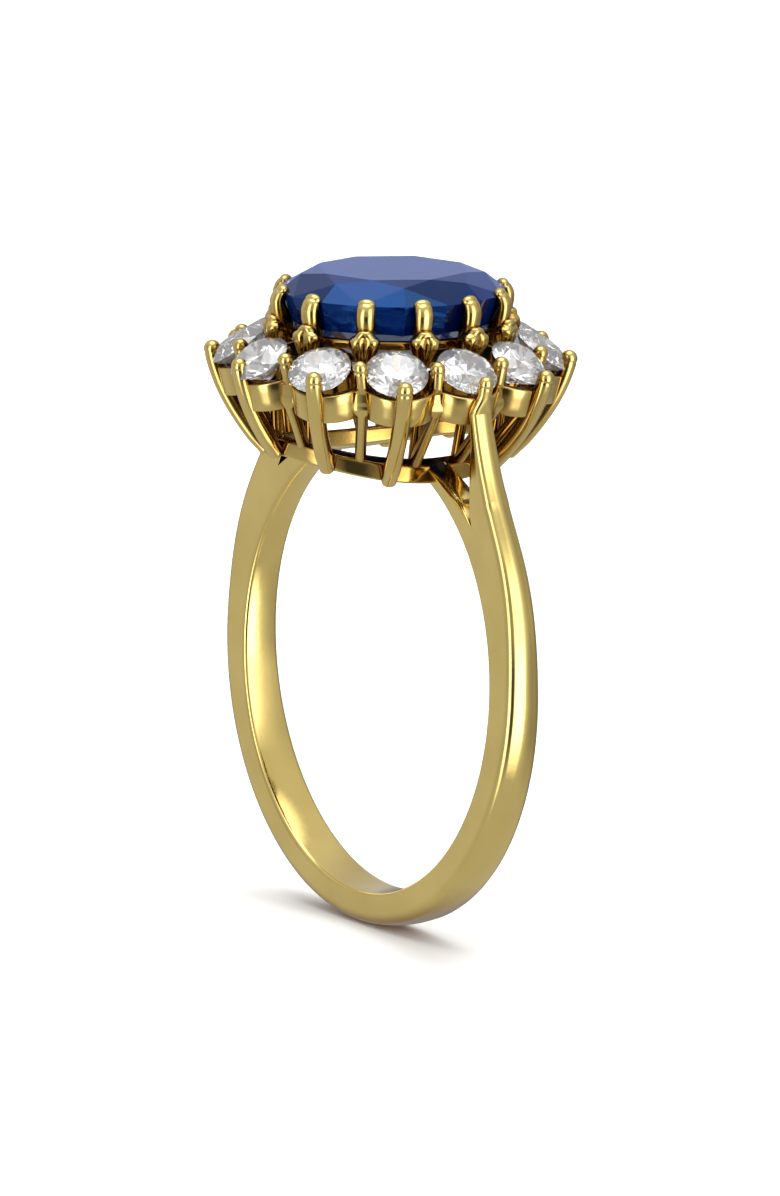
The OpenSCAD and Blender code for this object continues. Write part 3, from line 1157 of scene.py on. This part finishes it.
def brilliant_planes(crown_h, depth, table, star, split, girdle, belly=None):
    """Facet planes of a brilliant of girdle radius 1. table, star and split are the radii of the
    table's corners and of the points where the crown's and the pavilion's facets meet. belly is
    (radius, height) where a steep upper pavilion ends."""
    planes = [(Vector((0, 0, crown_h)), Vector((0, 0, 1)))]
    half = math.pi / 8

    def at(radius, turn, z):
        return Vector((radius * math.cos(half * turn), radius * math.sin(half * turn), z))

    slope = crown_h / (1 - table)
    star_z = slope * (1 - star * math.cos(half))
    rim, rim_z = belly or (1, -girdle)
    low_slope = (rim_z + depth) / rim
    split_z = -depth + low_slope * split * math.cos(half)
    for k in range(8):
        t = 2 * k
        corner, keel = at(table, t, crown_h), at(rim, t, rim_z)
        stars = [at(star, t + s, star_z) for s in (1, -1)]
        splits = [at(split, t + s, split_z) for s in (1, -1)]
        planes.append(plane_through(corner, *stars))
        planes.append(plane_through(corner, at(table, t + 2, crown_h), stars[0]))
        planes.append(plane_through(keel, *splits))
        for s, above, below in zip((1, -1), stars, splits):
            planes.append(plane_through(above, at(1, t, 0), at(1, t + s, 0)))
            planes.append(plane_through(below, keel, at(rim, t + s, rim_z)))
            if belly:
                planes.append(plane_through(at(1, t, -girdle), at(1, t + s, -girdle), keel))
    return planes


def cut_stone(name, planes, top, bottom, matrix, material, sides=64):
    """Cuts a rough cylinder with the planes, as a lapidary does, then places it and gives each facet a
    painted light level, a painted reflection that makes it lighter or darker."""
    bm = bmesh.new()
    bmesh.ops.create_cone(bm, cap_ends=True, segments=sides, radius1=1, radius2=1, depth=top - bottom)
    bmesh.ops.translate(bm, verts=bm.verts[:], vec=(0, 0, (top + bottom) / 2))
    for point, normal in planes:
        slice_off(bm, point, normal, 1e-6)
    bmesh.ops.remove_doubles(bm, verts=bm.verts[:], dist=1e-4)
    bmesh.ops.recalc_face_normals(bm, faces=bm.faces[:])
    bmesh.ops.transform(bm, matrix=Matrix.Scale(MM, 4) @ matrix, verts=bm.verts[:])
    mesh = bpy.data.meshes.new(name)
    bm.to_mesh(mesh)
    bm.free()
    mesh.shade_flat()
    # Painted reflections: each facet gets a fixed light level that lightens or darkens it in the stone's
    # material.
    painted_facet_levels = mesh.attributes.new("facet_tone", "FLOAT", "FACE")
    for face, tone in zip(mesh.polygons, painted_facet_levels.data):
        tone.value = 0.5 + 0.5 * math.sin(face.index * 2.4 + len(name))
    return link(name, mesh, material)


def make_centre_stone():
    crown_h = STONE_HIGH.z - GIRDLE_Z
    depth = GIRDLE_Z - STONE_LOW.z
    planes = brilliant_planes(
        crown_h, depth, table=0.68, star=0.82, split=0.4, girdle=0.1, belly=(0.92, -1.15)
    )
    matrix = Matrix.Translation((0, 0, GIRDLE_Z)) @ Matrix.Diagonal((*GIRDLE_OVAL, 1, 1))
    top, bottom = crown_h + 0.2, -depth - 0.2
    obj = cut_stone("ring_centre_stone", planes, top, bottom, matrix, SAPPHIRE, sides=96)
    finish_piece(obj, "sapphire", "centre_stone")


def make_halo_stone(k):
    planes = brilliant_planes(0.3, 0.86, table=0.56, star=0.8, split=0.25, girdle=0.045)
    out, side, up = collet_axes(k, STONE_TILT)
    axes = Matrix((out * STONE_R, side * STONE_R, up * STONE_R)).transposed().to_4x4()
    matrix = Matrix.Translation(on_oval(HALO_OVAL, stone_angle(k), HALO_Z)) @ axes
    obj = cut_stone(f"ring_halo_stone_{k}", planes, 0.5, -1.0, matrix, DIAMOND)
    finish_piece(obj, "diamond", f"halo_stone_{k}")


make_shank()
make_base_rail()
make_centre_gallery()
make_halo_gallery()
make_inner_claws()
make_centre_stone()
for k in CLAW_STONES:
    make_outer_claw(k)
for k in range(1, STONES + 1):
    make_shared_claw(k)
    make_centre_claw(k)
    make_halo_stone(k)
